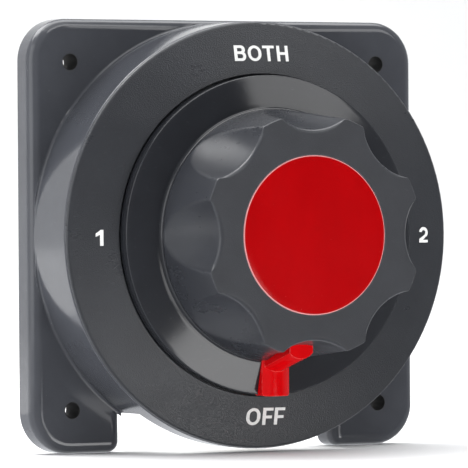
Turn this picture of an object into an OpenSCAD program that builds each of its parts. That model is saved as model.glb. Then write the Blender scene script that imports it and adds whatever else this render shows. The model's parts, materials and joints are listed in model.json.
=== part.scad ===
// Rotary battery selector switch for a boat: OFF, 1, BOTH and 2.
// A square plate screws to a panel. The drum on it holds the contacts, and the
// fluted knob turns them through a shaft. The cable studs point at the panel.
//
// Frame: +X right, +Z up (towards BOTH), +Y into the panel.
// The origin is the middle of the plate's back face, which lies on the panel.
// Parts are drawn lying on the panel, with +Z outwards, and facing_out() stands
// them up: an inner [x, y, z] becomes [x, -z, y].

/* [Mounting plate] */
// Side of the square mounting plate
plate_size = 133; // [132:1:150]
// Radius of the plate's corners
plate_corner_r = 13; // [9:1:15]
// Thickness of the plate
plate_t = 9.5; // [8:0.5:11]
// Rounding of the plate's front edge
plate_edge_r = 3.4; // [1:0.2:3.4]
// Distance between neighbouring mounting holes
hole_pitch = 106.4; // [104:0.2:110]
// Diameter of the mounting holes
hole_d = 4.8; // [4:0.1:5.5]

/* [Cable outlet] */
// Width of the gap in the plate's lower edge
outlet_w = 73.2; // [66:0.2:76]
// Distance from the centre down to the top of the gap
outlet_level = 54.3; // [54:0.1:56]
// Depth of the gap, measured out from the panel
outlet_h = 22; // [20.5:0.5:23]

/* [Drum] */
// Outer radius of the drum at its foot
drum_r = 65.5; // [65.5:0.1:66]
// Height of the drum's rim above the panel
drum_h = 30.8; // [30.6:0.1:30.8]
// Rounding of the drum's rim
rim_r = 0.8; // [0.4:0.1:1]

/* [Dial] */
// Radius of the dial plate, which laps over the drum's rim
dial_r = 65.2; // [65:0.1:65.4]
// Rounding of the dial plate's edge
dial_edge_r = 1; // [0.8:0.1:1]
// Height of the sloping dial face at its inner edge
dial_inner_h = 35.1; // [34.6:0.1:35.6]
// Height of the position lettering
cap_h = 4.8; // [4:0.1:6]

/* [Knob] */
// Radius of the knob's skirt
skirt_r = 48.75; // [48:0.05:48.8]
// Height of the skirt's outer edge above the panel
skirt_edge_h = 38.85; // [38.4:0.05:39.4]
// Radius of the fluted grip where it meets the skirt
grip_base_r = 38.2; // [37.5:0.1:38.6]
// Radius of the fluted grip at its front face
grip_front_r = 36.6; // [36:0.1:37.2]
// Height of the knob's front face above the panel
knob_h = 67.6; // [67:0.1:69]
// Number of scallops around the grip
scallops = 8; // [6:1:8]
// Radius to the bottom of each scallop at the front face
scallop_floor_r = 31.5; // [31:0.1:33]
// Radius of the round cutter that makes each scallop
scallop_cut_r = 18.6; // [15:0.1:20]
// Radius of the red label disc
label_r = 24; // [20:0.5:25]

/* [Terminals] */
// Diameter over the thread of the terminal studs
stud_d = 9.8; // [8.8:0.1:10]
// Radius of the circle that the studs stand on
stud_circle_r = 43; // [42.5:0.5:43.5]

/* [Hidden] */

$fn = 96;
// Overlap that makes two united shapes one solid
bite = 0.5;
// Length that carries a cutter clear of the face that it opens
past = 2;

// Colours
charcoal = [0.20, 0.21, 0.23];
dark_plastic = [0.16, 0.17, 0.19];
signal_red = [0.75, 0.02, 0.02];
legend_white = [0.93, 0.93, 0.92];
phenolic = [0.12, 0.10, 0.09];
copper = [0.78, 0.45, 0.30];
brass = [0.80, 0.66, 0.36];
steel = [0.75, 0.76, 0.78];
seal_black = [0.06, 0.06, 0.06];

// Housing walls
plate_wall = 3.2;
plate_skin = 3.6;
drum_bore_r = 61.5;
drum_foot_r = 0.8;
// How much narrower the drum is at its rim than at its foot
drum_draft = 0.1;
boss_r = 5.5;
rib_t = 2;
outlet_corner_r = 3.6;

// Stack of levels above the panel, from the cable space to the dial
base_back_h = 19.5;
base_front_h = 24;
gasket_t = 0.5;
ledge_back_h = base_front_h + gasket_t;
ledge_front_h = 27;
dial_back_h = ledge_front_h + gasket_t;
ledge_r = 54.5;
base_r = 61.2;
// The flat on the contact base, the gaskets and the ledge follows the outlet
base_flat = outlet_level - 0.5;
ledge_flat = outlet_level - 4.5;

// Dial plate
dial_seat_r = 63.8;
dial_lap_h = drum_h + 0.05;
dial_edge_h = 31.9;
dial_inner_r = 49.2;
dial_slope = atan((dial_inner_h - dial_edge_h) / (dial_r - dial_inner_r - 1));
dial_slope_start_r = dial_r - dial_edge_r * (1 - sin(dial_slope));
dial_floor_h = 33.2;
chamber_r = 53;
chamber_top_h = 30.6;
turret_r = 27;
turret_bore_r = 24;
turret_top_h = 46;
turret_under_h = 43;
bearing_r = 9;
bearing_top_h = 50;
legend_r = 55.5;
legend_t = 0.12;
stem = 1;
thin = 0.82;
stroke = 0.95;
off_scale = 1.1;

// Drive shaft and what sits on it
shaft_r = 5;
shaft_play = 0.05;
pilot_r = 4;
pilot_end_h = 20.8;
square_side = 7;
square_from_h = 52.5;
square_to_h = 61.5;
ring_groove_r = 4.2;
ring_h = 51.05;
ring_t = 1;
seal_h = 48.2;
seal_ring_r = 6.2;
seal_cord_r = 1.1;

// Contact carrier, contacts and detent
carrier_r = 22.5;
carrier_back_h = 29.6;
carrier_front_h = 42.2;
pad_t = 2;
pad_front_h = base_front_h + pad_t;
pad_inner_r = 22;
pad_outer_r = 33;
common_inner_r = 9;
common_outer_r = 17;
blade_back_h = pad_front_h + 0.2;
blade_t = 2.2;
blade_front_h = blade_back_h + blade_t;
blade_disc_r = 20;
blade_half_angle = 16;
peg_r = 2.5;
peg_circle_r = 15;
contact_spring_circle_r = 14;
contact_spring_r = 3.4;
contact_spring_top_h = 37;
ball_r = 3;
ball_circle_r = 15.5;
ball_h = 39.85;
ball_pocket_h = 31.5;
dimple_r = 3.3;
dimple_h = 40.7;

// Fasteners
screw_r = 1.75;
screw_circle_r = 57.6;
screw_tip_h = 30.4;
screw_head_r = 3.2;
screw_head_t = 2.2;
stud_angles = [160, 20, 270];
stud_tip_h = 2;
stud_tip_chamfer = 0.8;
// Where nut and stud mesh, both are drawn at the thread's pitch radius
pitch_r = stud_d / 2 - 0.3;
stud_head_t = 4.2;
stud_head_r = 7.4;
lug_r = 8;
washer_t = 1.5;
lock_washer_t = 2;
nut_t = 7.5;
nut_across_flats = 17;
washer_front_h = base_back_h - 1;
lock_front_h = washer_front_h - washer_t;
nut_front_h = lock_front_h - lock_washer_t;

// Knob
skirt_under_h = 34.2;
skirt_core_h = 35.8;
knob_bore_r = 28;
knob_bore_top_h = 62.8;
grip_base_h = 41.2;
joint_r = 1.2;
front_edge_r = 0.6;
hub_r = 9.5;
hub_back_h = 52.6;
label_seat_h = 66.4;
label_edge_h = 67.9;
label_crown = 0.6;
scallop_lean = atan((grip_base_r - scallop_floor_r) / (knob_h - grip_base_h));

// Pointer: a foot on the skirt and a finger up the lowest scallop
foot_half_w = 4.65;
foot_back_h = 37;
foot_ridge_h = 43.5;
foot_end_r = 49;
foot_corner_r = 1;
finger_half_w = 3.95;
finger_knee_r = 41.5;
finger_lean = 15.5;
finger_tip_h = 58.6;
finger_arc_r = 5.3;
foot_arc_r = 6.9;
finger_depth = 6;
slot_play = 0.1;
finger_slot_play = 0.35;

// ---------- Helpers ----------

// Stands a part that lies on the panel up into the part's frame
module facing_out() {
    rotate([90, 0, 0]) children();
}

// A plain tube standing at a given height
module tube(outer_r, inner_r, from_h, to_h) {
    translate([0, 0, from_h]) difference() {
        cylinder(r = outer_r, h = to_h - from_h);
        translate([0, 0, -past]) cylinder(r = inner_r, h = to_h - from_h + 2 * past);
    }
}

// A plain round bar standing at a given height
module bar(r, from_h, to_h) {
    translate([0, 0, from_h]) cylinder(r = r, h = to_h - from_h);
}

// Everything below a level that lies the given distance under the centre
module below(level, from_h, to_h) {
    translate([-100, -level - 100, from_h]) cube([200, 100, to_h - from_h]);
}

// Half of a slab's section, with its front corner rounded
module edge_section(reach, height, edge_r) {
    square([reach, height - edge_r]);
    square([reach - edge_r, height]);
    translate([reach - edge_r, height - edge_r]) circle(r = edge_r);
}

// A round corner of a slab, standing on its own axis
module slab_corner(corner_r, height, edge_r) {
    rotate_extrude() edge_section(corner_r, height, edge_r);
}

// A square slab with round corners and a rounded front edge
module rounded_slab(size, corner_r, height, edge_r) {
    span = size - 2 * corner_r;
    for (x = [-1, 1], y = [-1, 1])
        translate([x * span / 2, y * span / 2, 0]) slab_corner(corner_r, height, edge_r);
    for (turn = [0, 90])
        rotate([0, 0, turn]) rotate([90, 0, 90]) translate([0, 0, -span / 2])
            linear_extrude(span) {
                edge_section(size / 2, height, edge_r);
                mirror([1, 0]) edge_section(size / 2, height, edge_r);
            }
}

// A plain square slab with round corners
module plain_slab(size, corner_r, height) {
    span = size - 2 * corner_r;
    for (x = [-1, 1], y = [-1, 1])
        translate([x * span / 2, y * span / 2, 0]) cylinder(r = corner_r, h = height);
    translate([-size / 2, -span / 2, 0]) cube([size, span, height]);
    translate([-span / 2, -size / 2, 0]) cube([span, size, height]);
}

// Copies its children to each mounting hole
module at_mounting_holes() {
    for (x = [-1, 1], y = [-1, 1])
        translate([x * hole_pitch / 2, y * hole_pitch / 2, 0]) children();
}

// Copies its children to each screw of the contact base
module at_base_screws() {
    for (turn = [0 : 60 : 300])
        rotate([0, 0, turn]) translate([screw_circle_r, 0, 0]) children();
}

// Copies its children to one of the three studs, by number
module at_stud(i) {
    rotate([0, 0, stud_angles[i]]) translate([stud_circle_r, 0, 0]) children();
}

// Copies its children to all three studs
module at_studs() {
    for (i = [0 : 2]) at_stud(i) children();
}

// A flat sector of a ring between two angles, less than half a turn apart
module ring_sector(outer_r, inner_r, from_angle, to_angle) {
    reach = 2 * outer_r;
    middle = (from_angle + to_angle) / 2;
    difference() {
        intersection() {
            circle(r = outer_r);
            polygon([
                [0, 0],
                [reach * cos(from_angle), reach * sin(from_angle)],
                [reach * cos(middle), reach * sin(middle)],
                [reach * cos(to_angle), reach * sin(to_angle)]
            ]);
        }
        circle(r = inner_r);
    }
}

// The section of a screw's cross recess, as two crossed bars
module cross_recess(size, width) {
    square([size, width], center = true);
    square([width, size], center = true);
}

// A round wire wound into an open coil standing on z = 0
module coil_spring(mean_r, wire_r, height, turns) {
    sides = 6;
    steps = 12 * turns;
    rise = height - 2 * wire_r;
    points = [for (i = [0 : steps], k = [0 : sides - 1])
        let (
            turn = 360 * turns * i / steps,
            around = 360 * k / sides,
            r = mean_r + wire_r * cos(around)
        )
        [r * cos(turn), r * sin(turn), wire_r + rise * i / steps + wire_r * sin(around)]];
    first_end = [for (k = [0 : sides - 1]) k];
    last_end = [for (k = [sides - 1 : -1 : 0]) steps * sides + k];
    walls = [for (i = [0 : steps - 1], k = [0 : sides - 1], half = [0, 1])
        let (
            next = (k + 1) % sides,
            a = i * sides + k,
            b = i * sides + next,
            c = (i + 1) * sides + next,
            d = (i + 1) * sides + k
        )
        half == 0 ? [a, d, c] : [a, c, b]];
    polyhedron(points = points, faces = concat([first_end], [last_end], walls));
}

// ---------- Housing body ----------

// One side of the plate below the outlet's top edge, on the +X side
module plate_tab() {
    half = plate_size / 2;
    corner_at = half - plate_corner_r;
    inner = outlet_w / 2;
    inner_corner_x = inner + outlet_corner_r;
    inner_corner_y = half - outlet_corner_r;
    translate([corner_at, -corner_at, 0]) slab_corner(plate_corner_r, plate_t, plate_edge_r);
    translate([inner_corner_x, -inner_corner_y, 0])
        slab_corner(outlet_corner_r, plate_t, plate_edge_r);
    // Lower edge, between the two corners
    translate([inner_corner_x, 0, 0]) rotate([90, 0, 90])
        linear_extrude(corner_at - inner_corner_x) intersection() {
            mirror([1, 0]) edge_section(half, plate_t, plate_edge_r);
            translate([-half, 0]) square([plate_corner_r, plate_t]);
        }
    // Inner edge, beside the outlet
    translate([0, -corner_at, 0]) rotate([90, 0, 0])
        linear_extrude(inner_corner_y - corner_at) intersection() {
            translate([inner + plate_corner_r, 0])
                mirror([1, 0]) edge_section(plate_corner_r, plate_t, plate_edge_r);
            translate([inner, 0]) square([corner_at - inner, plate_t]);
        }
}

// Outer shape of the mounting plate, with the gap for the cables
module plate_blank() {
    corner_at = plate_size / 2 - plate_corner_r;
    difference() {
        rounded_slab(plate_size, plate_corner_r, plate_t, plate_edge_r);
        below(corner_at, -past, plate_t + past);
    }
    plate_tab();
    mirror([1, 0, 0]) plate_tab();
}

// Hollow in the back of the plate, all but its edge walls
module plate_hollow() {
    inner_size = plate_size - 2 * plate_wall;
    inner_corner_r = plate_corner_r - plate_wall;
    depth = plate_t - plate_skin;
    translate([0, 0, -past]) difference() {
        plain_slab(inner_size, inner_corner_r, depth + past);
        translate([-outlet_w / 2 - plate_wall, -plate_size, -past])
            cube([outlet_w + 2 * plate_wall, plate_size - outlet_level + plate_wall,
                depth + 3 * past]);
    }
}

// Outer shape of the drum, with a small rounded foot where it leaves the plate
module drum_blank() {
    rim_outer_r = drum_r - drum_draft;
    rotate_extrude() {
        polygon([
            [0, 0],
            [drum_r, 0],
            [drum_r, plate_t],
            [rim_outer_r, drum_h - rim_r],
            [rim_outer_r - rim_r, drum_h - rim_r],
            [rim_outer_r - rim_r, drum_h],
            [0, drum_h]
        ]);
        translate([rim_outer_r - rim_r, drum_h - rim_r]) circle(r = rim_r);
    }
    intersection() {
        rotate_extrude() translate([drum_r - bite, plate_t - bite]) difference() {
            square(drum_foot_r + bite);
            translate([drum_foot_r + bite, drum_foot_r + bite]) circle(r = drum_foot_r);
        }
        translate([0, 0, plate_t / 2]) plain_slab(2 * drum_r - 0.4, plate_corner_r, plate_t);
    }
}

// Space inside the drum, with the ledge that the dial and contact base clamp
module drum_hollow() {
    difference() {
        bar(drum_bore_r, -past, ledge_back_h);
        below(outlet_level + 0.3, -2 * past, ledge_back_h + past);
    }
    difference() {
        bar(ledge_r, ledge_back_h - bite, ledge_front_h + bite);
        below(ledge_flat, ledge_back_h - past, ledge_front_h + past);
    }
    bar(dial_seat_r + 0.05, ledge_front_h, drum_h + past);
}

module housing() {
    boss_reach = hole_pitch / 2 * sqrt(2);
    corner_reach = plate_size / 2 * sqrt(2) - plate_corner_r * (sqrt(2) - 1) - 1;
    color(charcoal) facing_out() difference() {
        union() {
            difference() {
                plate_blank();
                plate_hollow();
            }
            drum_blank();
            at_mounting_holes() cylinder(r = boss_r, h = plate_t - 1);
            // Diagonal ribs behind the plate's corners
            for (turn = [45 : 90 : 315])
                rotate([0, 0, turn]) translate([drum_r - 1, -rib_t / 2, 1])
                    cube([corner_reach - drum_r + 1, rib_t, plate_t - 2]);
        }
        drum_hollow();
        // Cable outlet through the plate and the drum's wall
        translate([-outlet_w / 2, -plate_size, -past])
            cube([outlet_w, plate_size - outlet_level, outlet_h + past]);
        below(outlet_level, plate_t, outlet_h);
        at_mounting_holes() translate([0, 0, -past]) cylinder(d = hole_d, h = plate_t + 2 * past);
        at_base_screws() bar(screw_r + 0.1, ledge_back_h - past, ledge_front_h + past);
    }
}

// Section of the dial plate: lap over the rim, sloping face, well for the skirt, turret and bearing
module dial_section() {
    edge_middle_r = dial_r - dial_edge_r;
    intersection() {
        translate([edge_middle_r, dial_edge_h - dial_edge_r * cos(dial_slope)])
            circle(r = dial_edge_r);
        translate([edge_middle_r, dial_lap_h]) square(2 * dial_edge_r);
    }
    polygon([
        [dial_seat_r, dial_back_h],
        [dial_seat_r, dial_lap_h],
        [edge_middle_r, dial_lap_h],
        [dial_slope_start_r, dial_edge_h],
        [dial_inner_r + 0.2, dial_inner_h],
        [dial_inner_r, dial_inner_h - 0.2],
        [dial_inner_r, dial_floor_h],
        [turret_r, dial_floor_h],
        [turret_r, turret_top_h],
        [bearing_r, turret_top_h],
        [bearing_r, bearing_top_h],
        [shaft_r + shaft_play, bearing_top_h],
        [shaft_r + shaft_play, turret_under_h],
        [turret_bore_r, turret_under_h],
        [turret_bore_r, chamber_top_h],
        [chamber_r, chamber_top_h],
        [chamber_r, dial_back_h]
    ]);
}

module dial_plate() {
    seal_groove_r = seal_ring_r + seal_cord_r + 0.05;
    color(charcoal) facing_out() difference() {
        rotate_extrude() dial_section();
        // Groove for the shaft seal
        bar(seal_groove_r, seal_h - seal_cord_r - 0.1, seal_h + seal_cord_r + 0.1);
        // A dimple for a detent ball at each of the four positions
        for (turn = [45 : 90 : 315])
            rotate([0, 0, turn]) translate([ball_circle_r, 0, dimple_h]) sphere(r = dimple_r);
        at_base_screws() bar(screw_r, dial_back_h - past, screw_tip_h + 0.3);
    }
}

// Thin skin on the sloping dial face, which the letters are cut from
module dial_skin() {
    rotate_extrude() polygon([
        [dial_slope_start_r, dial_edge_h],
        [dial_inner_r + 0.2, dial_inner_h],
        [dial_inner_r + 0.2, dial_inner_h + legend_t],
        [dial_slope_start_r, dial_edge_h + legend_t]
    ]);
}

// Letters and figures, cap_h tall and w wide, drawn from their lower left corner
module letter_o(w) {
    r = w / 2;
    r_in = r - stem;
    difference() {
        union() {
            translate([r, r]) circle(r = r);
            translate([r, cap_h - r]) circle(r = r);
            translate([0, r]) square([w, cap_h - w]);
        }
        translate([r, thin + r_in]) circle(r = r_in);
        translate([r, cap_h - thin - r_in]) circle(r = r_in);
        translate([stem, thin + r_in]) square([2 * r_in, cap_h - 2 * thin - 2 * r_in]);
    }
}

// One bowl of the letter B, from the stem outwards
module bowl(height, w) {
    r = height / 2;
    r_in = r - thin;
    straight = w - stem - r_in;
    difference() {
        union() {
            square([w - r, height]);
            translate([w - r, r]) circle(r = r);
        }
        translate([stem, thin]) square([straight - stem, height - 2 * thin]);
        translate([straight, r]) circle(r = r_in);
    }
}

module letter_b(w) {
    waist = 0.53 * cap_h + thin / 2;
    bowl(waist, w);
    translate([0, waist - thin]) bowl(cap_h - waist + thin, 0.94 * w);
}

module letter_t(w) {
    translate([0, cap_h - thin]) square([w, thin]);
    translate([(w - stem) / 2, 0]) square([stem, cap_h]);
}

module letter_h(w) {
    square([stem, cap_h]);
    translate([w - stem, 0]) square([stem, cap_h]);
    translate([0, (cap_h - thin) / 2]) square([w, thin]);
}

module letter_f(w) {
    square([stem, cap_h]);
    translate([0, cap_h - thin]) square([w, thin]);
    translate([0, 0.46 * cap_h - thin / 2]) square([0.9 * w, thin]);
}

module figure_1(w) {
    stem_x = w - stem;
    translate([stem_x, 0]) square([stem, cap_h]);
    // Flag that falls away from the top of the stem
    polygon([
        [stem_x + 0.3, cap_h],
        [0, cap_h - 1.1],
        [0, cap_h - 2.1],
        [stem_x + 0.3, cap_h - 1.3]
    ]);
}

module figure_2(w) {
    r = w / 2;
    r_in = r - stroke;
    top = cap_h - r;
    translate([r, top]) ring_sector(r, r_in, 0, 172);
    translate([r, top]) ring_sector(r, r_in, -50, 1);
    // Stroke from the bowl down to the foot
    polygon([
        [r + (r - 0.15) * cos(36), top - (r - 0.15) * sin(36)],
        [r + (r_in + 0.15) * cos(36), top - (r_in + 0.15) * sin(36)],
        [0, thin + 0.3],
        [0, thin / 2],
        [stroke + 0.2, thin / 2]
    ]);
    square([w, thin]);
}

module legend_both() {
    letter_b(3.9);
    translate([4.6, 0]) letter_o(4.6);
    translate([9.7, 0]) letter_t(4);
    translate([14.6, 0]) letter_h(3.9);
}

module legend_off() {
    letter_o(4.35);
    translate([5.1, 0]) letter_f(3.2);
    translate([8.8, 0]) letter_f(3.2);
}

// Sets a word upright on the dial by its middle, from the word's width
module legend(x, y, w) {
    translate([x - w / 2, y - cap_h / 2, 0]) children();
}

module dial_markings() {
    color(legend_white) facing_out() intersection() {
        dial_skin();
        translate([0, 0, dial_edge_h - past])
            linear_extrude(dial_inner_h - dial_edge_h + 2 * past) {
                legend(0, legend_r, 18.5) legend_both();
                legend(0.6, -legend_r - 0.2, 12 * off_scale) scale(off_scale) legend_off();
                legend(-legend_r + 0.2, -0.4, 2.3) figure_1(2.3);
                legend(legend_r + 1, -0.4, 3.4) figure_2(3.4);
            }
    }
}

// A gasket that follows the ledge, with holes for the screws
module ledge_gasket(outer_r, from_h, flat_side) {
    difference() {
        bar(outer_r, from_h, from_h + gasket_t);
        difference() {
            bar(ledge_r + 0.4, from_h - past, from_h + gasket_t + past);
            below(ledge_flat - 0.4, from_h - 2 * past, from_h + gasket_t + 2 * past);
        }
        if (flat_side) below(base_flat, from_h - past, from_h + gasket_t + past);
        at_base_screws() bar(screw_r + 0.1, from_h - past, from_h + gasket_t + past);
    }
}

module dial_gasket() {
    color(seal_black) facing_out() difference() {
        ledge_gasket(dial_seat_r - 0.3, ledge_front_h, false);
        bar(chamber_r + 0.5, ledge_front_h - past, dial_back_h + past);
    }
}

module base_gasket() {
    color(seal_black) facing_out() ledge_gasket(base_r - 0.4, base_front_h, true);
}

module contact_base() {
    barrier_t = 2.5;
    barrier_back_h = 8;
    color(phenolic) facing_out() difference() {
        union() {
            bar(base_r, base_back_h, base_front_h);
            // Raised seats for the terminal washers
            at_studs() bar(10.6, washer_front_h, base_front_h - 1);
            // Barriers that keep the three cables apart
            for (angle = [90, 215, 325])
                rotate([0, 0, angle]) translate([13, -barrier_t / 2, barrier_back_h])
                    cube([46 - 13, barrier_t, base_back_h - barrier_back_h + 1]);
            bar(12 + barrier_t, barrier_back_h, base_front_h - 1);
        }
        below(base_flat, -past, base_front_h + past);
        // Bore for the shaft's pilot, and the hollow behind it
        bar(pilot_r + shaft_play, pilot_end_h - 0.3, base_front_h + past);
        bar(12, -past, pilot_end_h - 2);
        at_studs() bar(pitch_r, -past, base_front_h + past);
        at_base_screws() bar(screw_r + 0.1, base_back_h - past, base_front_h + past);
        // Terminal numbers, sunk beside their studs
        for (side = [-1, 1])
            translate([side * 38, 32, base_back_h - past]) linear_extrude(past + 0.6)
                mirror([1, 0]) translate([-1.7, -cap_h / 2]) {
                    if (side < 0) figure_1(2.9);
                    if (side > 0) figure_2(3.4);
                }
    }
}

module base_screws() {
    color(steel) facing_out() at_base_screws() difference() {
        union() {
            bar(screw_r, base_back_h - bite, screw_tip_h);
            translate([0, 0, base_back_h]) mirror([0, 0, 1])
                rotate_extrude() intersection() {
                    edge_section(screw_head_r, screw_head_t, 1.4);
                    square([screw_head_r, screw_head_t]);
                }
        }
        translate([0, 0, base_back_h - screw_head_t - past])
            linear_extrude(past + 1.3) cross_recess(3.4, 0.8);
    }
}

// A copper segment that the moving contact slides on, with a lug for its stud
module contact_segment(from_angle, to_angle, i) {
    color(copper) facing_out() difference() {
        translate([0, 0, base_front_h]) linear_extrude(pad_t) {
            ring_sector(pad_outer_r, pad_inner_r, from_angle, to_angle);
            rotate(stud_angles[i]) translate([pad_outer_r - 4, -6])
                square([stud_circle_r - pad_outer_r + 4, 12]);
            rotate(stud_angles[i]) translate([stud_circle_r, 0]) circle(r = lug_r);
        }
        at_stud(i) bar(pitch_r, base_front_h - past, pad_front_h + past);
    }
}

module fixed_contact_1() {
    contact_segment(95, 198, 0);
}

module fixed_contact_2() {
    contact_segment(-18, 85, 1);
}

module common_contact() {
    color(copper) facing_out() difference() {
        translate([0, 0, base_front_h]) linear_extrude(pad_t) difference() {
            union() {
                circle(r = common_outer_r);
                rotate(stud_angles[2]) translate([0, -6]) square([stud_circle_r, 12]);
                rotate(stud_angles[2]) translate([stud_circle_r, 0]) circle(r = lug_r);
            }
            circle(r = common_inner_r);
        }
        // The lug stops short of the ledge's flat
        below(ledge_flat - 0.6, base_front_h - past, pad_front_h + past);
        at_stud(2) bar(pitch_r, base_front_h - past, pad_front_h + past);
    }
}

// A stud with a hexagon head on the contact side and a free threaded end
module terminal_stud(i) {
    free_from_h = stud_tip_h + stud_tip_chamfer;
    free_to_h = nut_front_h - nut_t - 0.1;
    color(brass) facing_out() at_stud(i) {
        bar(pitch_r, free_to_h - bite, pad_front_h + bite);
        bar(stud_d / 2, free_from_h, free_to_h);
        translate([0, 0, stud_tip_h])
            cylinder(d1 = stud_d - 2 * stud_tip_chamfer, d2 = stud_d, h = stud_tip_chamfer);
        translate([0, 0, pad_front_h]) rotate([0, 0, 30])
            cylinder(r = stud_head_r, h = stud_head_t, $fn = 6);
    }
}

module terminal_stud_1() {
    terminal_stud(0);
}

module terminal_stud_2() {
    terminal_stud(1);
}

module terminal_stud_common() {
    terminal_stud(2);
}

module terminal_washers() {
    color(brass) facing_out() at_studs() tube(10, pitch_r, lock_front_h, washer_front_h);
}

// Split spring washers, with the gap that makes them springy
module terminal_lock_washers() {
    color(steel) facing_out() at_studs() difference() {
        tube(8.4, pitch_r, nut_front_h, lock_front_h);
        translate([0, -0.5, nut_front_h - past]) cube([12, 1, lock_washer_t + 2 * past]);
    }
}

module terminal_nuts() {
    across_corners = nut_across_flats / cos(30);
    color(brass) facing_out() at_studs() difference() {
        intersection() {
            translate([0, 0, nut_front_h - nut_t])
                cylinder(d = across_corners, h = nut_t, $fn = 6);
            // Both faces are chamfered round their corners
            rotate_extrude() polygon([
                [0, nut_front_h],
                [nut_across_flats / 2, nut_front_h],
                [across_corners / 2 + 0.2, nut_front_h - 0.8],
                [across_corners / 2 + 0.2, nut_front_h - nut_t + 0.8],
                [nut_across_flats / 2, nut_front_h - nut_t],
                [0, nut_front_h - nut_t]
            ]);
        }
        bar(pitch_r, nut_front_h - nut_t - past, nut_front_h + past);
    }
}

module shaft_seal() {
    color(seal_black) facing_out() translate([0, 0, seal_h])
        rotate_extrude() translate([seal_ring_r, 0]) circle(r = seal_cord_r);
}

// ---------- Knob body ----------

// Section of the knob: grip, skirt, and the space over the turret
module knob_section() {
    lip = 0.35;
    joint_reach_r = grip_base_r + joint_r;
    joint_top_h = grip_base_h + joint_r;
    skirt_rise = (grip_base_h - skirt_edge_h) / (skirt_r - joint_reach_r);
    difference() {
        union() {
            polygon([
                [0, skirt_under_h],
                [skirt_r - lip, skirt_under_h],
                [skirt_r, skirt_under_h + lip],
                [skirt_r, skirt_edge_h - lip],
                [skirt_r - lip, skirt_edge_h + lip * skirt_rise],
                [joint_reach_r, grip_base_h],
                [grip_base_r, joint_top_h],
                [grip_front_r, knob_h - front_edge_r],
                [grip_front_r - front_edge_r, knob_h - front_edge_r],
                [grip_front_r - front_edge_r, knob_h],
                [0, knob_h]
            ]);
            translate([grip_front_r - front_edge_r, knob_h - front_edge_r])
                circle(r = front_edge_r);
        }
        // Hollow curve where the skirt meets the grip
        translate([joint_reach_r, joint_top_h]) circle(r = joint_r);
        // Space over the turret
        translate([-past, skirt_under_h - past])
            square([knob_bore_r + past, knob_bore_top_h - skirt_under_h + past]);
        // Hollow under the skirt
        translate([knob_bore_r + 4, skirt_under_h - past])
            square([skirt_r - knob_bore_r - 7, skirt_core_h - skirt_under_h + past]);
    }
}

// The round cutters that scallop the grip, leaning out towards the skirt
module scallop_cutters() {
    flare = 1;
    for (i = [0 : scallops - 1])
        rotate([0, 0, 360 * i / scallops]) intersection() {
            translate([scallop_floor_r, 0, knob_h]) rotate([0, -scallop_lean, 0]) {
                translate([scallop_cut_r, 0, -60]) cylinder(r = scallop_cut_r, h = 80);
                translate([scallop_cut_r, 0, -flare])
                    cylinder(r1 = scallop_cut_r, r2 = scallop_cut_r + 2 * flare, h = 2 * flare);
            }
            bar(90, grip_base_h + joint_r, knob_h + 20);
        }
}

// The pointer's finger, grown by the given play on every side but its length
module finger(play, tip_h) {
    foot_h = foot_back_h;
    intersection() {
        translate([0, -finger_knee_r, foot_ridge_h]) rotate([-finger_lean, 0, 0])
            translate([0, 0, -20]) linear_extrude(50) intersection() {
                translate([0, finger_arc_r]) circle(r = finger_arc_r + play);
                translate([-finger_half_w - play, -play])
                    square([2 * (finger_half_w + play), finger_depth + 2 * play]);
            }
        translate([-20, -60, foot_h - play]) cube([40, 60, tip_h - foot_h + play]);
    }
}

// The pointer's foot, grown by the given play
module foot(play, end_r, ridge_h) {
    w = foot_half_w + play;
    back_h = foot_back_h - play;
    translate([0, 0, back_h]) intersection() {
        rotate([90, 0, 0]) translate([0, 0, grip_base_r - 3])
            linear_extrude(end_r - grip_base_r + 3) intersection() {
                translate([0, ridge_h - back_h - foot_arc_r]) circle(r = foot_arc_r);
                translate([-w, 0]) square([2 * w, ridge_h - back_h]);
            }
        // Plan of the foot, with its two outer corners rounded
        linear_extrude(20) {
            translate([-w, -end_r + foot_corner_r]) square([2 * w, end_r - 20]);
            translate([-w + foot_corner_r, -end_r])
                square([2 * (w - foot_corner_r), end_r - 20]);
            for (x = [-1, 1])
                translate([x * (w - foot_corner_r), -end_r + foot_corner_r])
                    circle(r = foot_corner_r);
        }
    }
}

module knob() {
    web_from_h = 61.8;
    color(dark_plastic) facing_out() difference() {
        union() {
            difference() {
                rotate_extrude() knob_section();
                scallop_cutters();
            }
            bar(hub_r, hub_back_h, label_seat_h - 1);
            // Four webs from the hub to the grip's wall
            for (turn = [45 : 90 : 315])
                rotate([0, 0, turn]) translate([hub_r - bite, -1.25, hub_back_h + 2])
                    cube([knob_bore_r - hub_r + 2 * bite, 2.5, web_from_h - hub_back_h]);
        }
        // Seat for the label, and under it the screw's counterbore and hole
        bar(label_r + 0.1, label_seat_h, knob_h + past);
        bar(4.2, 64, label_seat_h + past);
        bar(2, square_to_h - past, 64 + past);
        // Square socket for the shaft
        translate([-square_side / 2, -square_side / 2, hub_back_h - past])
            cube([square_side, square_side, square_to_h - hub_back_h + past]);
        // Slots for the pointer's finger and foot
        finger(finger_slot_play, finger_tip_h + 0.3);
        foot(slot_play, skirt_r + past, foot_ridge_h + past);
    }
}

module pointer() {
    color(signal_red) facing_out() {
        finger(0, finger_tip_h);
        foot(0, foot_end_r, foot_ridge_h);
    }
}

module knob_label() {
    top_h = label_edge_h + label_crown;
    color(signal_red) facing_out() rotate_extrude() polygon([
        [0, label_seat_h],
        [label_r, label_seat_h],
        [label_r, label_edge_h - 0.3],
        [label_r - 0.3, label_edge_h],
        [label_r * 0.75, top_h - 0.5 * label_crown],
        [label_r * 0.4, top_h - 0.15 * label_crown],
        [0, top_h]
    ]);
}

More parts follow.
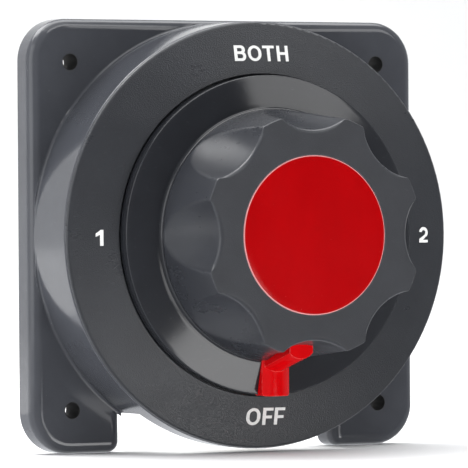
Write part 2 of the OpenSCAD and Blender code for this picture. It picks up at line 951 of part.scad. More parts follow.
module knob_screw() {
    color(steel) facing_out() difference() {
        union() {
            bar(2, square_from_h, 64 + bite);
            translate([0, 0, 64]) rotate_extrude() intersection() {
                edge_section(3.8, 2.2, 1);
                square([3.8, 2.2]);
            }
        }
        translate([0, 0, 65]) linear_extrude(past) cross_recess(4, 0.9);
    }
}

module drive_shaft() {
    color(brass) facing_out() difference() {
        union() {
            bar(pilot_r, pilot_end_h, base_front_h + 2.5);
            difference() {
                bar(shaft_r, base_front_h + 2, square_from_h);
                tube(shaft_r + past, ring_groove_r, ring_h, ring_h + ring_t);
            }
            intersection() {
                translate([-square_side / 2, -square_side / 2, square_from_h - bite])
                    cube([square_side, square_side, square_to_h - square_from_h + bite]);
                bar(shaft_r - 0.1, square_from_h - past, square_to_h);
            }
        }
        // Tapped hole for the knob's screw, and the hole for the drive pin
        bar(2, square_from_h, square_to_h + past);
        translate([0, 0, 36]) rotate([0, 90, 0]) translate([0, 0, -20]) cylinder(r = 1.5, h = 40);
    }
}

module drive_pin() {
    color(steel) facing_out() translate([-9.5, 0, 36]) rotate([0, 90, 0]) cylinder(r = 1.5, h = 19);
}

module contact_carrier() {
    color(phenolic) facing_out() difference() {
        union() {
            bar(carrier_r, carrier_back_h, carrier_front_h);
            bar(10, carrier_front_h - bite, turret_under_h - 0.2);
            // Pegs that drive the moving contact
            for (side = [-1, 1])
                translate([0, side * peg_circle_r, 0])
                    bar(peg_r, pad_front_h + 0.5, carrier_back_h + bite);
        }
        bar(shaft_r, carrier_back_h - past, turret_under_h + past);
        translate([-9.5, 0, 36]) rotate([0, 90, 0]) cylinder(r = 1.5, h = 19);
        for (side = [-1, 1])
            translate([side * contact_spring_circle_r, 0, 0])
                bar(contact_spring_r + 0.5, carrier_back_h - past, contact_spring_top_h);
        for (turn = [45, 225])
            rotate([0, 0, turn]) translate([ball_circle_r, 0, 0])
                bar(ball_r + shaft_play, ball_pocket_h, carrier_front_h + past);
    }
}

module thrust_washer() {
    color(steel) facing_out()
        tube(bearing_r, shaft_r, bearing_top_h + 0.15, ring_h);
}

// A retaining ring with the open side that lets it snap into its groove
module retaining_ring() {
    color(steel) facing_out() difference() {
        tube(8, ring_groove_r, ring_h, ring_h + ring_t);
        translate([-3.2, 0, ring_h - past]) cube([6.4, 12, ring_t + 2 * past]);
    }
}

module contact_springs() {
    wire_r = 0.45;
    color(steel) facing_out() for (side = [-1, 1])
        translate([side * contact_spring_circle_r, 0, blade_front_h])
            coil_spring(contact_spring_r - wire_r, wire_r, contact_spring_top_h - blade_front_h, 5);
}

module moving_contact() {
    color(copper) facing_out() difference() {
        translate([0, 0, blade_back_h]) linear_extrude(blade_t) {
            circle(r = blade_disc_r);
            ring_sector(pad_outer_r, pad_inner_r - 5, 270 - blade_half_angle, 270 + blade_half_angle);
        }
        bar(shaft_r + 1, blade_back_h - past, blade_front_h + past);
        for (side = [-1, 1])
            translate([0, side * peg_circle_r, 0])
                bar(peg_r + 0.1, blade_back_h - past, blade_front_h + past);
    }
}

module detent_springs() {
    wire_r = 0.35;
    spring_h = 6;
    color(steel) facing_out() for (turn = [45, 225])
        rotate([0, 0, turn]) translate([ball_circle_r, 0, ball_pocket_h])
            coil_spring(2.2, wire_r, spring_h, 5);
}

module detent_balls() {
    color(steel) facing_out() for (turn = [45, 225])
        rotate([0, 0, turn]) translate([ball_circle_r, 0, ball_h]) sphere(r = ball_r);
}

housing();
dial_plate();
dial_markings();
dial_gasket();
base_gasket();
contact_base();
base_screws();
fixed_contact_1();
fixed_contact_2();
common_contact();
terminal_stud_1();
terminal_stud_2();
terminal_stud_common();
terminal_washers();
terminal_lock_washers();
terminal_nuts();
shaft_seal();
knob();
pointer();
knob_label();
knob_screw();
drive_shaft();
drive_pin();
contact_carrier();
thrust_washer();
retaining_ring();
contact_springs();
moving_contact();
detent_springs();
detent_balls();
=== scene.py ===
"""The looks of a rotary battery switch: fine meshes, moulded materials, light and camera.

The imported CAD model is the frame. X is right, Z is up and Y points into the panel, in metres.
"""

import json
import math

import bpy
from mathutils import Matrix, Vector

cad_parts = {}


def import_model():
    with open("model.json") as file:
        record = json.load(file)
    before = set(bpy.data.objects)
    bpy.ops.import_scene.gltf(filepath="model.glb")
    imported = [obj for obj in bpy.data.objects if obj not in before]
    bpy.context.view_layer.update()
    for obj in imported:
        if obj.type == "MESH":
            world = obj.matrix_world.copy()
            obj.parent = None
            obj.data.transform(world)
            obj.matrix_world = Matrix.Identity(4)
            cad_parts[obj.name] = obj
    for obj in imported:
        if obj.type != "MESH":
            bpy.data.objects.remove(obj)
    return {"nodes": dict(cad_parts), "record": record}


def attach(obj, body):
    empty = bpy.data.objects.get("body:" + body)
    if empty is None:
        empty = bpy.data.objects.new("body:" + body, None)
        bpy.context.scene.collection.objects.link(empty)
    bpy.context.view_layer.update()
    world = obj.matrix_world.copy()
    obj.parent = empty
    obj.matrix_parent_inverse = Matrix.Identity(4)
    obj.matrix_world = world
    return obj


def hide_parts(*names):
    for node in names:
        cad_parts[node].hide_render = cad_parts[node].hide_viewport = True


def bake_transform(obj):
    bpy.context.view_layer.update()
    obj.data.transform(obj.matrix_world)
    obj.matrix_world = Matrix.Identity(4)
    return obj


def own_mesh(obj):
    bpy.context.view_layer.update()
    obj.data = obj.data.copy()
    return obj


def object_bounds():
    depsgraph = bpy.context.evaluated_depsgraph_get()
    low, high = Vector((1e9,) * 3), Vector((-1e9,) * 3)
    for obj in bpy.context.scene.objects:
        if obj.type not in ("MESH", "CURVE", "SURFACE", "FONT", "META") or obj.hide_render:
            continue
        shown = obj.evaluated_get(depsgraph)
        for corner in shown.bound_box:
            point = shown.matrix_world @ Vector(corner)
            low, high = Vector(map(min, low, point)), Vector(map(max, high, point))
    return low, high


MM = 0.001

# The camera, from a fit to the photograph's perspective
CAMERA_PLACE = Vector((-0.7029, -1.3799, 0.0081))
CAMERA_AIM = Vector((0.0060, -0.0031, 0.0002))
CAMERA_ROLL = math.radians(-0.38)
CAMERA_LENS = 382.2

# Sizes of the switch, in millimetres. Heights are measured out from the panel.
HOLE_OFFSET, HOLE_R = 53.2, 2.4
GRIP_START_H, GRIP_LOW_H, FACE_H = 42.2, 42.4, 67.6
LABEL_R = 24.0

# pale grey of scuffs and specks, also used for the knob's painted edge highlight
PALE_SCUFF_AND_HIGHLIGHT = (0.30, 0.31, 0.33)
WORN = (0.22, 0.23, 0.25)


# ---------- Shader helpers ----------


class Nodes:
    """A material's node tree, with short ways to add to it."""

    def __init__(self, name):
        self.material = bpy.data.materials.new(name)
        self.material.use_nodes = True
        self.tree = self.material.node_tree
        self.shader = self.tree.nodes["Principled BSDF"]

    def add(self, kind, **settings):
        node = self.tree.nodes.new(kind)
        for key, value in settings.items():
            setattr(node, key, value)
        return node

    def link(self, start, end):
        self.tree.links.new(start, end)

    def place(self, stretch=(1, 1, 1)):
        """The object's own coordinates, which every pattern is laid out in."""
        coords = self.add("ShaderNodeTexCoord")
        mapping = self.add("ShaderNodeMapping")
        mapping.inputs["Scale"].default_value = stretch
        self.link(coords.outputs["Object"], mapping.inputs["Vector"])
        return mapping.outputs["Vector"]

    def noise(self, scale, detail=2.0, roughness=0.5, stretch=(1, 1, 1)):
        node = self.add("ShaderNodeTexNoise")
        node.inputs["Scale"].default_value = scale
        node.inputs["Detail"].default_value = detail
        node.inputs["Roughness"].default_value = roughness
        self.link(self.place(stretch), node.inputs["Vector"])
        return node.outputs["Fac"]

    def cells(self, scale):
        """The distance from the middle of each cell of a fine grain."""
        node = self.add("ShaderNodeTexVoronoi")
        node.inputs["Scale"].default_value = scale
        self.link(self.place(), node.inputs["Vector"])
        return node.outputs["Distance"]

    def spread(self, value, low, high, to_low=0.0, to_high=1.0):
        """Maps low..high of a value to to_low..to_high, and holds it there."""
        node = self.add("ShaderNodeMapRange")
        for name, number in (
            ("From Min", low),
            ("From Max", high),
            ("To Min", to_low),
            ("To Max", to_high),
        ):
            node.inputs[name].default_value = number
        self.link(value, node.inputs["Value"])
        return node.outputs["Result"]

    def blend(self, amount, first, second):
        """A colour that goes from first to second as amount goes from 0 to 1."""
        node = self.add("ShaderNodeMix", data_type="RGBA")
        for socket, colour in ((node.inputs["A"], first), (node.inputs["B"], second)):
            if isinstance(colour, tuple):
                socket.default_value = (*colour, 1)
            else:
                self.link(colour, socket)
        self.link(amount, node.inputs["Factor"])
        return node.outputs["Result"]

    def math(self, kind, first, second):
        node = self.add("ShaderNodeMath", operation=kind)
        for socket, value in zip(node.inputs, (first, second)):
            if isinstance(value, (int, float)):
                socket.default_value = value
            else:
                self.link(value, socket)
        return node.outputs["Value"]

    def edges(self, radius):
        """Near 1 on sharp outer edges and 0 elsewhere, from how much rounding would turn the normal."""
        bevel = self.add("ShaderNodeBevel", samples=6)
        bevel.inputs["Radius"].default_value = radius
        geometry = self.add("ShaderNodeNewGeometry")
        dot = self.add("ShaderNodeVectorMath", operation="DOT_PRODUCT")
        self.link(bevel.outputs["Normal"], dot.inputs[0])
        self.link(geometry.outputs["Normal"], dot.inputs[1])
        return self.spread(dot.outputs["Value"], 0.995, 0.85)

    def near_corners(self, offset, inner, outer):
        """1 within inner of four lines along Y, at offset from the middle in X and Z, 0 beyond outer."""
        value = self.place()
        steps = (
            ("ABSOLUTE", None),
            ("SUBTRACT", (offset, 0, offset)),
            ("MULTIPLY", (1, 0, 1)),
            ("LENGTH", None),
        )
        for kind, number in steps:
            node = self.add("ShaderNodeVectorMath", operation=kind)
            self.link(value, node.inputs[0])
            if number is not None:
                node.inputs[1].default_value = number
            value = node.outputs["Value" if kind == "LENGTH" else "Vector"]
        return self.spread(value, inner, outer, 1, 0)

    def in_front_of(self, low, high):
        """0 up to low in front of the panel, and 1 from high."""
        split = self.add("ShaderNodeSeparateXYZ")
        self.link(self.place(), split.inputs["Vector"])
        return self.spread(self.math("MULTIPLY", split.outputs["Y"], -1), low, high)

    def bump(self, height, distance, under=None):
        node = self.add("ShaderNodeBump")
        node.inputs["Distance"].default_value = distance
        self.link(height, node.inputs["Height"])
        if under is not None:
            self.link(under, node.inputs["Normal"])
        return node.outputs["Normal"]

    def set(self, **values):
        for name, value in values.items():
            self.shader.inputs[name.replace("_", " ")].default_value = value


def mesh_object(name, verts, faces):
    """A smooth-shaded object, linked to the scene."""
    mesh = bpy.data.meshes.new(name)
    mesh.from_pydata(verts, [], faces)
    mesh.polygons.foreach_set("use_smooth", [True] * len(faces))
    made = bpy.data.objects.new(name, mesh)
    bpy.context.scene.collection.objects.link(made)
    return made


def fine_mesh(name, verts, faces, material, sharp):
    """A smooth-shaded object of one material, with edges sharper than sharp degrees kept crisp."""
    made = mesh_object(name, verts, faces)
    made.data.set_sharp_from_angle(angle=math.radians(sharp))
    made.data.materials.append(material)
    return made


def darker(colour, factor):
    return tuple(channel * factor for channel in colour)


def moulded_plastic(name, colour, roughness, grain, grain_depth, wear=0.25):
    """Moulded plastic: cloudy colour, a fine sparked grain, faint scuffs and paler worn edges."""
    n = Nodes(name)
    cloud = n.spread(n.noise(55, 4, 0.6), 0.3, 0.7)
    tone = n.blend(cloud, darker(colour, 0.9), darker(colour, 1.1))
    scuffs = n.spread(n.noise(420, 5, 0.7, stretch=(1, 0.4, 2.2)), 0.62, 0.78)
    tone = n.blend(n.math("MULTIPLY", scuffs, 0.10), tone, PALE_SCUFF_AND_HIGHLIGHT)
    edge_wear_and_highlight = n.math("MULTIPLY", n.edges(0.0005), n.spread(n.noise(700, 3), 0.35, 0.65))
    tone = n.blend(n.math("MULTIPLY", edge_wear_and_highlight, wear), tone, WORN)
    n.link(tone, n.shader.inputs["Base Color"])
    smear = n.spread(n.noise(38, 5, 0.65, stretch=(1, 1, 1.7)), 0.25, 0.75, -0.05, 0.06)
    rough = n.math("ADD", n.math("ADD", smear, n.math("MULTIPLY", scuffs, 0.08)), roughness)
    n.link(rough, n.shader.inputs["Roughness"])
    fine = n.bump(n.cells(grain), grain_depth)
    n.link(n.bump(n.noise(160, 2), 0.00003, fine), n.shader.inputs["Normal"])
    n.set(Specular_IOR_Level=0.5)
    return n.material


def housing_plastic(name, colour, hole_offset, hole_radius):
    """Polished plastic, with painted shade making the walls of its mounting holes near black."""
    n = Nodes(name)
    cloud = n.spread(n.noise(55, 4, 0.6), 0.3, 0.7)
    tone = n.blend(cloud, darker(colour, 0.9), darker(colour, 1.1))
    edge_wear_and_highlight = n.math("MULTIPLY", n.edges(0.0005), n.spread(n.noise(700, 3), 0.35, 0.65))
    tone = n.blend(n.math("MULTIPLY", edge_wear_and_highlight, 0.3), tone, WORN)
    specks = n.spread(n.noise(1500, 2, 0.5), 0.74, 0.80)
    tone = n.blend(n.math("MULTIPLY", specks, 0.25), tone, PALE_SCUFF_AND_HIGHLIGHT)
    # painted shade: the walls of the mounting holes are coloured near black for the darkness inside them
    hole_shade = n.near_corners(hole_offset, hole_radius + 0.1 * MM, hole_radius + 0.35 * MM)
    n.link(n.blend(hole_shade, tone, (0.003, 0.003, 0.003)), n.shader.inputs["Base Color"])
    smear = n.spread(n.noise(38, 5, 0.65, stretch=(1, 1, 1.7)), 0.25, 0.75, 0.07, 0.15)
    n.link(n.math("ADD", smear, n.math("MULTIPLY", hole_shade, 0.7)), n.shader.inputs["Roughness"])
    fine = n.bump(n.cells(2600), 0.000002)
    n.link(n.bump(n.noise(160, 2), 0.00003, fine), n.shader.inputs["Normal"])
    return n.material


def knob_plastic(name, colour, grip_h, face_h):
    """Polished plastic on the skirt, satin on the fluted grip, and a fine matt grain on the front face."""
    n = Nodes(name)
    grip = n.in_front_of(grip_h, grip_h + 0.8 * MM)
    face = n.in_front_of(face_h - 0.25 * MM, face_h - 0.1 * MM)
    cloud = n.spread(n.noise(60, 4, 0.6), 0.3, 0.7)
    tone = n.blend(cloud, darker(colour, 0.88), darker(colour, 1.12))
    # painted shade: the skirt behind the grip is coloured darker than the rest of the same moulding, for how
    # dark its polished slope looks
    tone = n.blend(grip, n.blend(cloud, darker(colour, 0.55), darker(colour, 0.68)), tone)
    scuffs = n.spread(n.noise(420, 5, 0.7, stretch=(1, 0.4, 2.2)), 0.62, 0.78)
    tone = n.blend(n.math("MULTIPLY", scuffs, 0.08), tone, PALE_SCUFF_AND_HIGHLIGHT)
    # the paler edges are partly wear and partly a painted highlight along the knob's front edges and flutes
    edge_wear_and_highlight = n.math("MULTIPLY", n.edges(0.0004), n.spread(n.noise(700, 3), 0.3, 0.6))
    tone = n.blend(n.math("MULTIPLY", edge_wear_and_highlight, 0.45), tone, PALE_SCUFF_AND_HIGHLIGHT)
    n.link(tone, n.shader.inputs["Base Color"])
    smear = n.spread(n.noise(38, 5, 0.65, stretch=(1, 1, 1.7)), 0.25, 0.75, 0.09, 0.16)
    matt = n.math("ADD", n.math("MULTIPLY", grip, 0.16), n.math("MULTIPLY", face, 0.18))
    wiped = n.math("ADD", n.math("ADD", smear, matt), n.math("MULTIPLY", scuffs, 0.06))
    n.link(wiped, n.shader.inputs["Roughness"])
    grain = n.bump(n.math("MULTIPLY", n.cells(4200), face), 0.00004)
    n.link(n.bump(n.noise(150, 2), 0.00002, grain), n.shader.inputs["Normal"])
    return n.material


def glossy_red(name, colour, roughness, painted_rim_r=None):
    """Glossy coloured plastic with slight flow marks and dust. A radius given for the rim adds a painted
    highlight line just inside it.
    """
    n = Nodes(name)
    flow = n.spread(n.noise(80, 4, 0.6, stretch=(1, 1, 0.4)), 0.3, 0.7)
    tone = n.blend(flow, darker(colour, 0.92), darker(colour, 1.06))
    dust = n.spread(n.noise(2600, 1, 0.4), 0.80, 0.84)
    tone = n.blend(n.math("MULTIPLY", dust, 0.5), tone, (0.75, 0.35, 0.3))
    edge_wear_and_highlight = n.math("MULTIPLY", n.edges(0.0004), n.spread(n.noise(900, 3), 0.4, 0.6))
    tone = n.blend(n.math("MULTIPLY", edge_wear_and_highlight, 0.55), tone, (0.95, 0.30, 0.27))
    if painted_rim_r:
        # painted highlight: a pale ring just inside the rim, for the light caught by the disc's rolled edge
        rim_highlight_mask = n.near_corners(0, painted_rim_r - 0.4 * MM, painted_rim_r - 0.25 * MM)
        tone = n.blend(n.spread(rim_highlight_mask, 0, 1, 0.75, 0), tone, (0.85, 0.42, 0.42))
    n.link(tone, n.shader.inputs["Base Color"])
    n.set(Specular_IOR_Level=0.25)
    smear = n.spread(n.noise(60, 4, 0.6), 0.3, 0.7, roughness * 0.8, roughness * 1.25)
    n.link(smear, n.shader.inputs["Roughness"])
    n.link(n.bump(n.noise(700, 2), 0.000012), n.shader.inputs["Normal"])
    return n.material


def printed_white(name):
    """Printed lettering: dense white ink with a slightly broken surface."""
    n = Nodes(name)
    thin = n.spread(n.noise(1800, 3, 0.6), 0.62, 0.75)
    n.link(n.blend(thin, (0.88, 0.88, 0.86), (0.66, 0.66, 0.65)), n.shader.inputs["Base Color"])
    n.link(n.spread(n.noise(500, 3), 0.3, 0.7, 0.4, 0.55), n.shader.inputs["Roughness"])
    n.link(n.bump(n.noise(3500, 2), 0.00001), n.shader.inputs["Normal"])
    return n.material


def rubber(name):
    """Matt seal rubber with bloom."""
    n = Nodes(name)
    bloom = n.spread(n.noise(240, 4, 0.6), 0.4, 0.75)
    n.link(n.blend(bloom, (0.012, 0.012, 0.012), (0.035, 0.035, 0.036)), n.shader.inputs["Base Color"])
    n.link(n.spread(n.noise(300, 3), 0.3, 0.7, 0.65, 0.85), n.shader.inputs["Roughness"])
    n.link(n.bump(n.noise(2500, 3), 0.00002), n.shader.inputs["Normal"])
    return n.material


def metal(name, colour, roughness, tarnish, turned=(1, 1, 1)):
    """Machined metal: tool marks, tarnish in blotches and brighter worn edges."""
    n = Nodes(name)
    blotch = n.spread(n.noise(260, 5, 0.65), 0.42, 0.72)
    tone = n.blend(blotch, colour, tarnish)
    tone = n.blend(n.math("MULTIPLY", n.edges(0.0004), 0.5), tone, darker(colour, 1.15))
    n.link(tone, n.shader.inputs["Base Color"])
    marks = n.noise(900, 4, 0.6, stretch=turned)
    rough = n.spread(marks, 0.3, 0.7, roughness * 0.8, roughness * 1.3)
    n.link(n.math("ADD", rough, n.math("MULTIPLY", blotch, 0.12)), n.shader.inputs["Roughness"])
    n.link(n.bump(marks, 0.00002), n.shader.inputs["Normal"])
    n.set(Metallic=1.0)
    return n.material


def make_materials():
    """One material for each of the record's slots, by slot name."""
    charcoal = (0.058, 0.061, 0.070)
    dark = (0.030, 0.032, 0.038)
    return {
        "housing_plastic": housing_plastic("housing_plastic", charcoal, HOLE_OFFSET * MM, HOLE_R * MM),
        "dial_plastic": moulded_plastic("dial_plastic", (0.027, 0.029, 0.034), 0.30, 3000, 0.00006),
        "knob_plastic": knob_plastic("knob_plastic", dark, GRIP_START_H * MM, FACE_H * MM),
        "marking_white": printed_white("marking_white"),
        "pointer_red": glossy_red("pointer_red", (0.72, 0.001, 0.003), 0.09),
        "label_red": glossy_red("label_red", (0.36, 0.0008, 0.002), 0.12, LABEL_R * MM),
        "phenolic": moulded_plastic("phenolic", (0.022, 0.019, 0.017), 0.42, 1800, 0.000015),
        "seal_rubber": rubber("seal_rubber"),
        "steel": metal("steel", (0.62, 0.63, 0.65), 0.28, (0.42, 0.42, 0.43), (1, 6, 1)),
        "copper": metal("copper", (0.86, 0.45, 0.30), 0.25, (0.45, 0.22, 0.15)),
        "brass": metal("brass", (0.80, 0.60, 0.28), 0.27, (0.48, 0.36, 0.18), (1, 8, 1)),
    }


def dress_cad_nodes(frame, materials):
    """Gives every CAD node the material of its slot."""
    for part in frame["record"]["subparts"]:
        node = frame["nodes"][part["node"]]
        node.data.materials.clear()
        node.data.materials.append(materials[part["material_slot"]])


# ---------- Knob ----------

COLUMNS = 384
GRIP_FOOT_R, GRIP_FACE_R = 38.2, 36.6
LOBE_ROUNDING, FLUTE_ROUNDING = 0.45, 1.5
SEAT_R, SEAT_H = 24.1, 66.4
FLUTES, FLUTE_R = 8, 18.6


def ring(radius, height):
    """One level ring of the knob's mesh, the same all the way round."""
    return [(radius, height)] * COLUMNS


def soft_min(first, second, width):
    """The smaller of two numbers, rounded over where they cross."""
    overlap = max(width - abs(first - second), 0) / width
    return min(first, second) - overlap * overlap * width / 4


def grip_radius(turn, height):
    """The grip's radius: a slight cone, with flutes whose floors curve out towards the skirt."""
    rise = (height - GRIP_LOW_H) / (FACE_H - GRIP_LOW_H)
    cone = GRIP_FOOT_R - (GRIP_FOOT_R - GRIP_FACE_R) * rise
    floor = GRIP_FOOT_R - 10.58 * rise + 3.88 * rise * rise
    step = 2 * math.pi / FLUTES
    aside = (turn + step / 2) % step - step / 2
    centre = floor + FLUTE_R
    reach = FLUTE_R**2 - (centre * math.sin(aside)) ** 2
    if reach <= 0:
        return cone
    return soft_min(cone, centre * math.cos(aside) - math.sqrt(reach), 0.25)


def column_turns():
    return [2 * math.pi * i / COLUMNS for i in range(COLUMNS)]


def face_rounding(turn):
    """The radius of the front edge: small on the lobes and wide in the flutes."""
    depth = GRIP_FACE_R - grip_radius(turn, FACE_H)
    share = min(max((depth - 0.2) / 2.4, 0), 1)
    share = share * share * (3 - 2 * share)
    return LOBE_ROUNDING + (FLUTE_ROUNDING - LOBE_ROUNDING) * share


def grip_ring(share):
    """A ring of the grip's wall, from its foot at share 0 to the start of the front edge at 1."""
    points = []
    for turn in column_turns():
        height = GRIP_LOW_H + (FACE_H - face_rounding(turn) - GRIP_LOW_H) * share
        points.append((grip_radius(turn, height), height))
    return points


def edge_ring(angle):
    """A ring of the rounded front edge, from the wall at angle 0 to the face at a right angle."""
    points = []
    for turn in column_turns():
        rounding = face_rounding(turn)
        radius = grip_radius(turn, FACE_H - rounding) - rounding * (1 - math.cos(angle))
        points.append((radius, FACE_H - rounding * (1 - math.sin(angle))))
    return points


def arc_rings(centre_r, centre_h, radius, start, end, steps):
    """Rings along a circular arc of the section, between two angles in degrees."""
    rings = []
    for i in range(steps + 1):
        angle = math.radians(start + (end - start) * i / steps)
        rings.append(ring(centre_r + radius * math.cos(angle), centre_h + radius * math.sin(angle)))
    return rings


def knob_rings():
    """Every ring of the knob, from inside its hub, round the skirt and over the grip to the label's seat."""
    hollow = [(5, 62.2), (5, 52.6), (9.5, 52.6), (9.5, 62.8), (28, 62.8), (28, 34.2)]
    rings = [ring(*point) for point in hollow]
    rings += arc_rings(48.35, 34.6, 0.4, -90, 0, 4)
    rings += arc_rings(48.35, 38.45, 0.4, 0, 76, 6)
    rings += [ring(39.4 + 9.0 * (1 - i / 8), 41.2 - 2.36 * (1 - i / 8)) for i in range(1, 8)]
    rings += arc_rings(39.4, 42.4, 1.2, -90, -180, 8)
    rings += [grip_ring(i / 32) for i in range(1, 33)]
    rings += [edge_ring(math.radians(90 * i / 8)) for i in range(1, 9)]
    edge = rings[-1]
    for i in range(1, 7):
        rings.append([(r + (SEAT_R - r) * i / 6, FACE_H) for r, _ in edge])
    return rings + [ring(SEAT_R, SEAT_H), ring(4, SEAT_H)]


def turned_piece(name, rings, node, material, sharp):
    """A closed, finely divided mesh through rings of points about the axis.
    It turns with the knob, in place of a CAD node."""
    count = len(rings[0])
    verts = []
    for level in rings:
        for i, (radius, height) in enumerate(level):
            turn = 2 * math.pi * i / count
            verts.append((radius * math.cos(turn) * MM, -height * MM, radius * math.sin(turn) * MM))
    faces = [list(range(count))]
    for j in range(len(rings) - 1):
        for i in range(count):
            k = (i + 1) % count
            faces.append([j * count + i, (j + 1) * count + i, (j + 1) * count + k, j * count + k])
    last = (len(rings) - 1) * count
    faces.append([last + i for i in reversed(range(count))])
    piece = fine_mesh(name, verts, faces, material, sharp)
    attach(piece, "knob")
    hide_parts(node)


def make_knob(materials):
    """The fluted knob."""
    turned_piece("knob_fine", knob_rings(), "knob", materials["knob_plastic"], 40)


def make_label(materials):
    """The red disc: nearly flat, with a rolled edge that catches the light."""
    edge_r, edge_h, roll, crown = LABEL_R, 67.75, 0.35, 0.45
    rings = [ring(0.5, SEAT_H), ring(edge_r, SEAT_H)]
    rings += arc_rings(edge_r - roll, edge_h - roll, roll, 0, 88, 6)
    for i in range(1, 13):
        radius = (edge_r - roll) * (1 - i / 12) + 0.02
        rings.append(ring(radius, edge_h + crown * (1 - (radius / (edge_r - roll)) ** 2)))
    turned_piece("label_disc", rings, "knob_label", materials["label_red"], 40)


# ---------- Springs ----------

CONTACT_SPRING_CIRCLE_R = 14
CONTACT_SPRING_LOW_H, CONTACT_SPRING_HIGH_H = 28.41, 37.0
BALL_CIRCLE_R = 15.5
DETENT_SPRING_LOW_H, DETENT_SPRING_HIGH_H = 31.5, 37.5


def coil_level(share, low_h, high_h, wire_r):
    """The height of the wire's centre line, with the end turns closed up. share goes from 0 to 1."""
    eased = min(max((share - 0.1) / 0.8, 0), 1)
    rise = 0.06 * share + 0.94 * eased
    return low_h + wire_r + (high_h - low_h - 2 * wire_r) * rise


def add_coil(verts, faces, centre, coil_r, wire_r, low_h, high_h):
    """Adds one compression spring of round wire, standing out from the panel at centre."""
    turns, per_turn, round_wire = 5, 40, 12
    steps = turns * per_turn
    start = len(verts)
    for i in range(steps + 1):
        turn = 2 * math.pi * i / per_turn
        level = coil_level(i / steps, low_h, high_h, wire_r)
        for k in range(round_wire):
            around = 2 * math.pi * k / round_wire
            radius = coil_r + wire_r * math.cos(around)
            x = centre[0] + radius * math.cos(turn)
            z = centre[1] + radius * math.sin(turn)
            verts.append((x * MM, -(level + wire_r * math.sin(around)) * MM, z * MM))
    for i in range(steps):
        for k in range(round_wire):
            a, b = start + i * round_wire + k, start + i * round_wire + (k + 1) % round_wire
            faces.append([a, b, b + round_wire, a + round_wire])
    faces.append([start + k for k in reversed(range(round_wire))])
    faces.append([start + steps * round_wire + k for k in range(round_wire)])


def spring_pair(name, centres, coil_r, wire_r, low_h, high_h, material):
    """Two equal springs as one piece."""
    verts, faces = [], []
    for centre in centres:
        add_coil(verts, faces, centre, coil_r, wire_r, low_h, high_h)
    return fine_mesh(name, verts, faces, material, 50)


def make_contact_springs(materials):
    """The springs behind the moving contact, as one piece that moves with the knob."""
    low_h, high_h = CONTACT_SPRING_LOW_H, CONTACT_SPRING_HIGH_H
    centres = [(-CONTACT_SPRING_CIRCLE_R, 0), (CONTACT_SPRING_CIRCLE_R, 0)]
    springs = spring_pair("contact_coils", centres, 2.95, 0.45, low_h, high_h, materials["steel"])
    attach(springs, "knob")
    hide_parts("contact_springs")
    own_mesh(springs)


def make_detent_springs(materials):
    """The springs behind the detent balls, as one piece left where it stands."""
    low_h, high_h = DETENT_SPRING_LOW_H, DETENT_SPRING_HIGH_H
    side = BALL_CIRCLE_R * math.sqrt(0.5)
    centres = [(side, side), (-side, -side)]
    springs = spring_pair("detent_coils", centres, 2.2, 0.35, low_h, high_h, materials["steel"])
    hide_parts("detent_springs")
    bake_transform(springs)


# ---------- Stage, light and camera ----------


def swept_sheet(name, profile, side):
    """A sheet that follows a profile of (y, z) points, side metres out to left and right."""
    verts = [(x, y, z) for y, z in profile for x in (-side, side)]
    faces = [(2 * i, 2 * i + 1, 2 * i + 3, 2 * i + 2) for i in range(len(profile) - 1)]
    sheet = mesh_object(name, verts, faces)
    sheet.visible_shadow = False
    return sheet


def make_stage(floor_z):
    """A pale floor that sweeps up into a backdrop. Only the backdrop is mirrored in glossy surfaces."""
    front, meet, back, bend, side, wall = -1.8, 0.1, 2.2, 0.8, 3.0, 2.2
    profile = [(meet, floor_z), (back - bend, floor_z)]
    steps = 24
    for i in range(1, steps + 1):
        turn = math.radians(90 * i / steps)
        profile.append((back - bend + bend * math.sin(turn), floor_z + bend * (1 - math.cos(turn))))
    profile.append((back, floor_z + wall))
    floor = swept_sheet("stage_floor", [(front, floor_z), (meet, floor_z)], side)
    floor.visible_glossy = False
    backdrop = swept_sheet("stage_backdrop", profile, side)
    n = Nodes("stage_paper")
    tone = n.spread(n.noise(1.5, 2), 0.3, 0.7)
    n.link(n.blend(tone, (0.88, 0.88, 0.88), (0.91, 0.91, 0.91)), n.shader.inputs["Base Color"])
    n.set(Roughness=0.9, Specular_IOR_Level=0.1)
    for sheet in (floor, backdrop):
        sheet.data.materials.append(n.material)


def soft_box(name, place, aim, width, height, radiance):
    """A rectangular light at place, facing aim, as bright as radiance all over."""
    light = bpy.data.lights.new(name, "AREA")
    light.shape = "RECTANGLE"
    light.size = width
    light.size_y = height
    light.energy = radiance * math.pi * width * height
    lamp = bpy.data.objects.new(name, light)
    lamp.location = place
    lamp.rotation_euler = (aim - Vector(place)).to_track_quat("-Z", "Y").to_euler()
    lamp.visible_camera = False
    bpy.context.scene.collection.objects.link(lamp)


def make_world():
    """Soft light from all round: bright behind the switch, and dim in front and to the right."""
    world = bpy.data.worlds.new("studio")
    world.use_nodes = True
    tree = world.node_tree
    background = tree.nodes["Background"]
    coords = tree.nodes.new("ShaderNodeTexCoord")
    toward = tree.nodes.new("ShaderNodeVectorMath")
    toward.operation = "DOT_PRODUCT"
    toward.inputs[1].default_value = (0.42, -0.90, 0.05)
    total = tree.nodes.new("ShaderNodeMath")
    tree.links.new(coords.outputs["Generated"], toward.inputs[0])
    for i, (start, end, low, high) in enumerate(((-0.35, 0.25, 1.1, 0.36), (0.72, 0.93, 0, -0.30))):
        dim = tree.nodes.new("ShaderNodeMapRange")
        dim.interpolation_type = "SMOOTHSTEP"
        names = ("From Min", "From Max", "To Min", "To Max")
        for name, number in zip(names, (start, end, low, high)):
            dim.inputs[name].default_value = number
        tree.links.new(toward.outputs["Value"], dim.inputs["Value"])
        tree.links.new(dim.outputs["Result"], total.inputs[i])
    tree.links.new(total.outputs["Value"], background.inputs["Strength"])
    background.inputs["Color"].default_value = (0.94, 0.96, 1.0, 1)
    bpy.context.scene.world = world


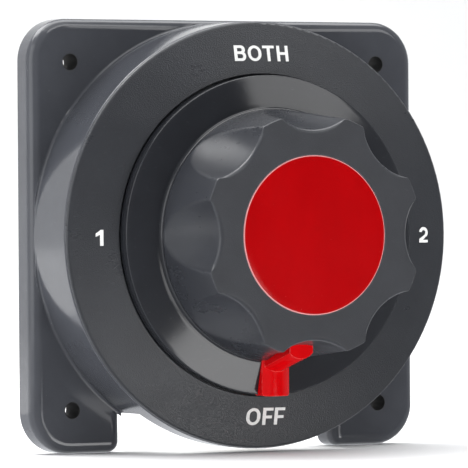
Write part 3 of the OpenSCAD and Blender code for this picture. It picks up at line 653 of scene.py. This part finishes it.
def aimed_box(name, middle, azimuths, heights, radiance):
    """A soft box that fills a window of directions from the object, in degrees.
    Azimuth is measured from straight ahead towards the right, and height from level."""
    reach = 1.1
    across, up = (math.radians(sum(pair) / 2) for pair in (azimuths, heights))
    way = Vector((math.sin(across) * math.cos(up), -math.cos(across) * math.cos(up), math.sin(up)))
    width, height = (
        2 * reach * math.tan(math.radians(pair[1] - pair[0]) / 2) for pair in (azimuths, heights)
    )
    soft_box(name, middle + way * reach, middle, width * math.cos(up), height, radiance)


def make_lights(middle):
    make_world()
    aimed_box("top_box", middle, (25, 52), (18, 40), 2.8)
    aimed_box("crown_box", middle, (-16, 40), (44, 60), 3.5)
    aimed_box("low_box", middle, (4, 31), (-35, -16), 4.6)
    aimed_box("low_dial_box", middle, (2, 20), (-14, -5), 2.6)
    aimed_box("rear_box", middle, (-175, -120), (38, 64), 5.0)
    soft_box("left_box", (-1.6, -0.3, 0.5), middle, 1.2, 1.2, 1.2)
    soft_box("overhead_box", (0, -0.2, 1.6), middle, 1.4, 1.4, 1.2)
    soft_box("backdrop_box", (0, 0.6, 1.9), Vector((0, 1.6, 0)), 3.0, 1.4, 3.0)


def make_camera():
    camera = bpy.data.cameras.new("camera")
    camera.sensor_width = 36
    camera.lens = CAMERA_LENS
    camera.clip_end = 20
    eye = bpy.data.objects.new("camera", camera)
    look = (CAMERA_AIM - CAMERA_PLACE).to_track_quat("-Z", "Y").to_matrix().to_4x4()
    eye.matrix_world = Matrix.Translation(CAMERA_PLACE) @ look @ Matrix.Rotation(CAMERA_ROLL, 4, "Z")
    bpy.context.scene.collection.objects.link(eye)
    bpy.context.scene.camera = eye


def set_view():
    bpy.context.scene.view_settings.view_transform = "Standard"


def main():
    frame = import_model()
    cad_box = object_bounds()
    materials = make_materials()
    dress_cad_nodes(frame, materials)
    make_knob(materials)
    make_label(materials)
    make_contact_springs(materials)
    make_detent_springs(materials)
    low, high = cad_box
    make_stage(low[2] - 0.05 * MM)
    make_lights((Vector(low) + Vector(high)) / 2)
    make_camera()
    set_view()


main()
